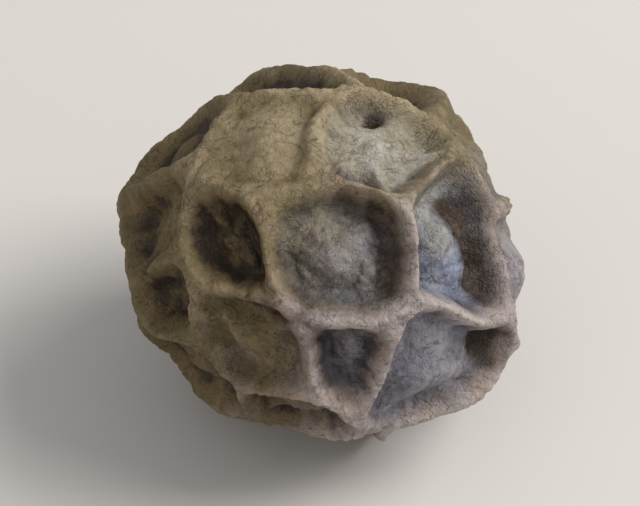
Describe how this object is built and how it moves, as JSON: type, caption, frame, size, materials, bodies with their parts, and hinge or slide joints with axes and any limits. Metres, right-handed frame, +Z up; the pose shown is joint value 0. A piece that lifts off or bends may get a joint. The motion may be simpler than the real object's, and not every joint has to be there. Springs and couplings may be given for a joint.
{
  "type": "peppercorn",
  "caption": "Whole dried black peppercorn: a round berry, dark brown, its skin wrinkled into a raised net of pale ridges round sunken cells, resting on its stalk scar",
  "frame": {"origin": "middle of the fruit's bounding box in plan, at the height of the flat stalk scar that it rests on", "axes": "Z up, away from the scar; -Y toward the side that the picture shows; X to the right, seen from that side"},
  "size_m": [0.0052, 0.005, 0.0047],
  "materials": {
    "skin": "matt, finely grained"
  },
  "bodies": {
    "root": {"peppercorn": "skin"}
  },
  "joints": []
}
